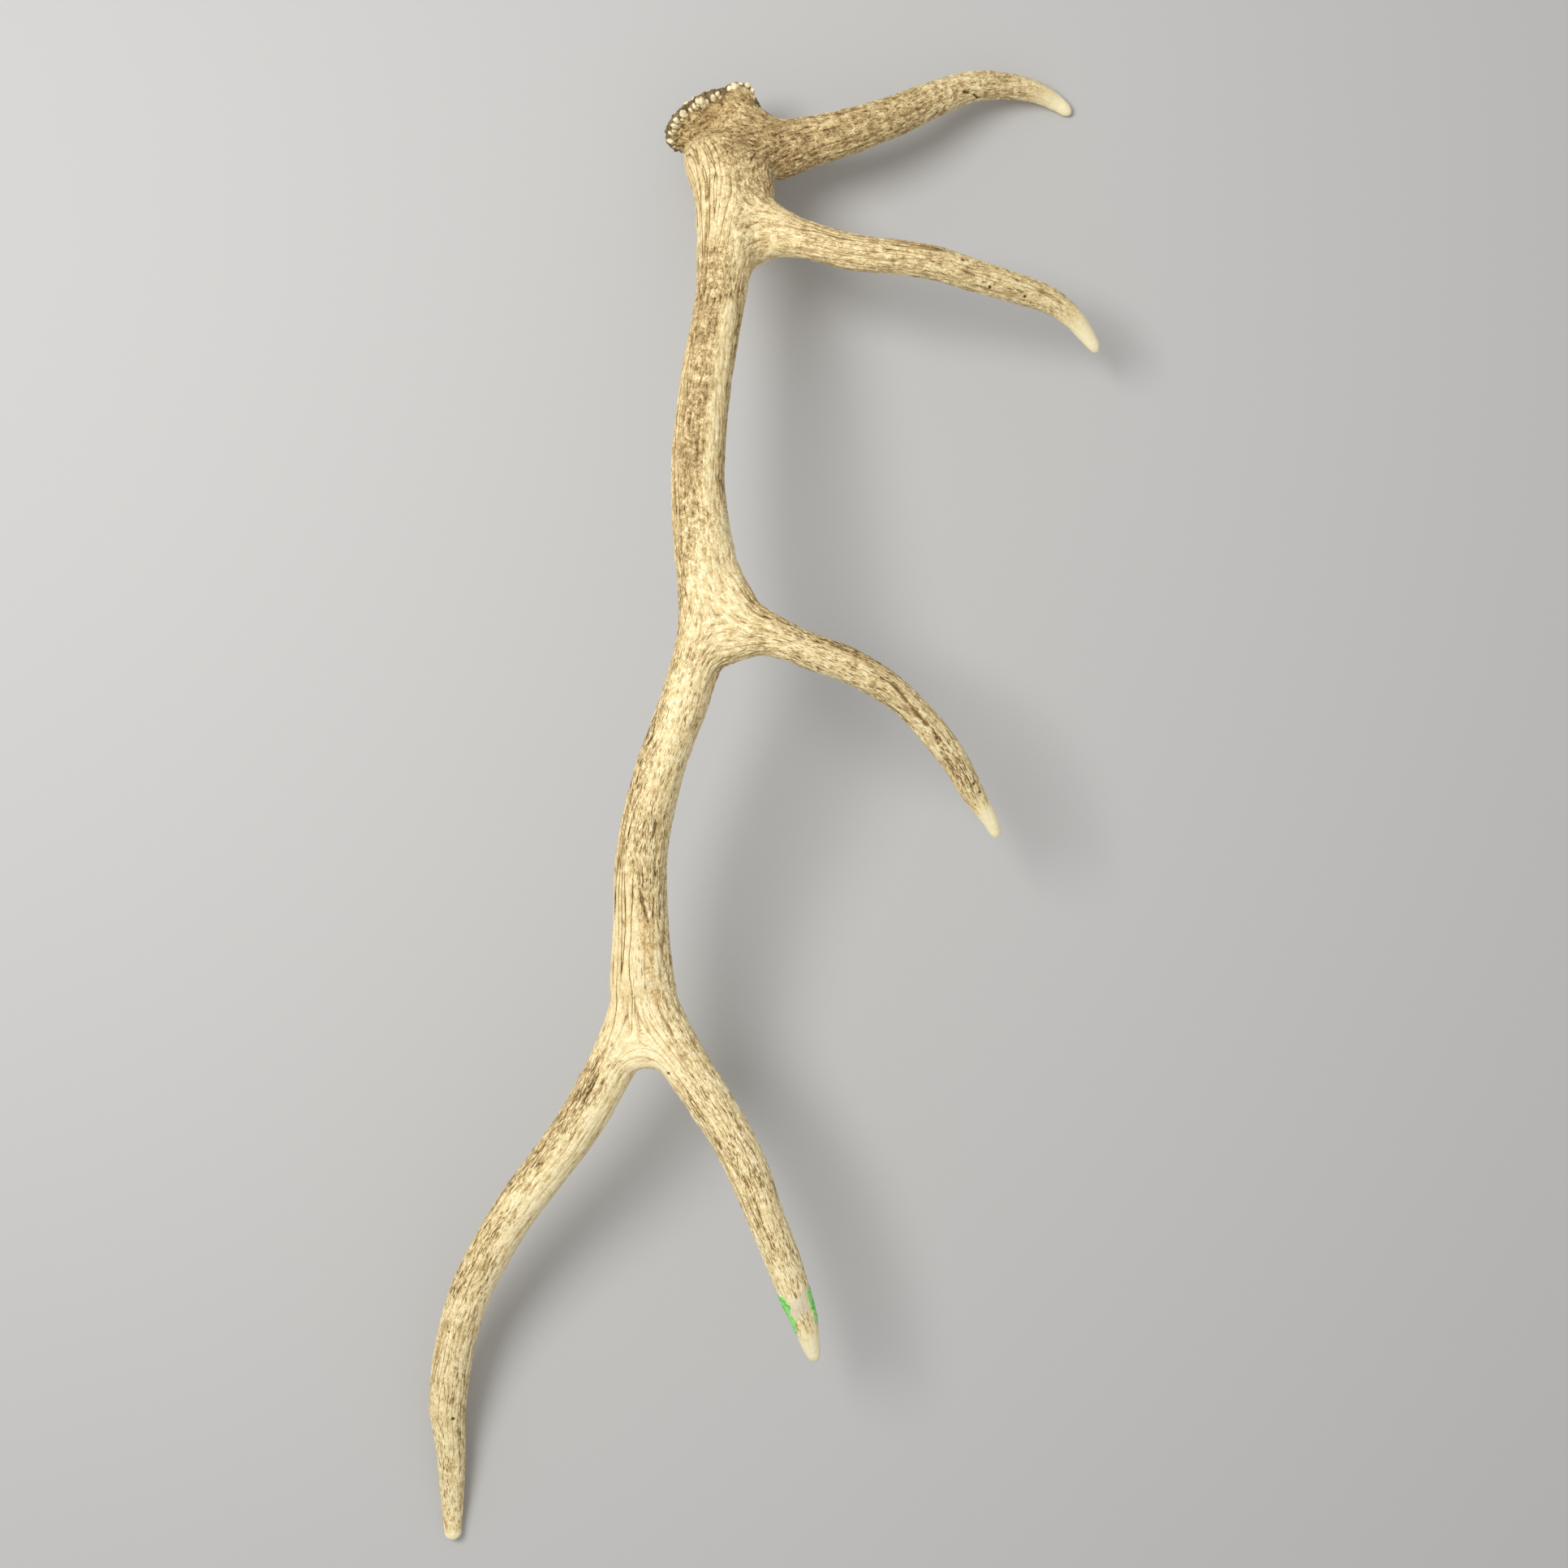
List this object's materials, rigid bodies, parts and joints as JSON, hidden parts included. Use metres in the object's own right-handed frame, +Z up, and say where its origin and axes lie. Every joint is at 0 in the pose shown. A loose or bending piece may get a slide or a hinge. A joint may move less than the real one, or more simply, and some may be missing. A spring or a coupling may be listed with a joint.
{
  "type": "deer antler",
  "caption": "Shed deer antler lying on its inner side: curved beam from a pearled burr, brow, bez and trez tines and an end fork, parted at its main forks.",
  "frame": {"origin": "on the surface that the antler lies on, below the middle of its bounding box", "axes": "+Y towards the burr, +X towards the brow, bez and trez tines, +Z up from the surface"},
  "size_m": [0.53, 1.1832, 0.1908],
  "materials": {
    "base_bone": "dull brown weathered antler bone with pale pearls",
    "beam_bone": "satin grooved antler bone, cream with brown grain",
    "tine_bone": "satin antler bone, cream with brown streaks and ivory tips"
  },
  "bodies": {
    "root": {"burr_and_base": "base_bone", "brow_tine": "tine_bone", "bez_tine": "tine_bone", "lower_beam": "beam_bone", "trez_tine": "tine_bone", "upper_beam": "beam_bone", "front_fork_tine": "tine_bone", "rear_fork_tine": "tine_bone"}
  },
  "joints": []
}
